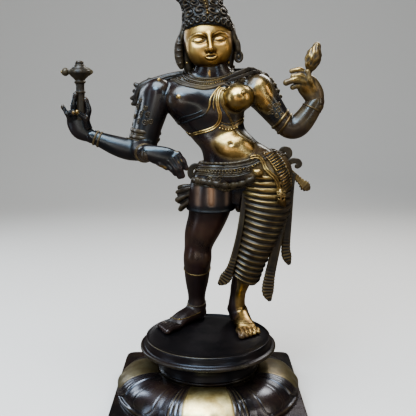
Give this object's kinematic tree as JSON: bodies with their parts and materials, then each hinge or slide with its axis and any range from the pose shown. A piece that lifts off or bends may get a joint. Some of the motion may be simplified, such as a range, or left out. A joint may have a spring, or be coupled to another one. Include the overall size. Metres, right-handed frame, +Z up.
{
  "type": "ardhanarishvara statue",
  "caption": "Cast two-tone statue of Ardhanarishvara standing in a swayed pose on a round lotus seat with a square plinth.",
  "frame": {"origin": "centre of the underside of the square plinth", "axes": "+Z up along the statue's height, the figure faces -Y, +X to the figure's left"},
  "size_m": [0.3233, 0.232, 0.5423],
  "materials": {
    "figure_bronze": "dark brown patina on the god's half, rubbed back to brass on the goddess's half",
    "pedestal_bronze": "glossy dark brown patina with petals rubbed back to brass"
  },
  "bodies": {
    "root": {"figure": "figure_bronze", "pedestal": "pedestal_bronze"}
  },
  "joints": []
}
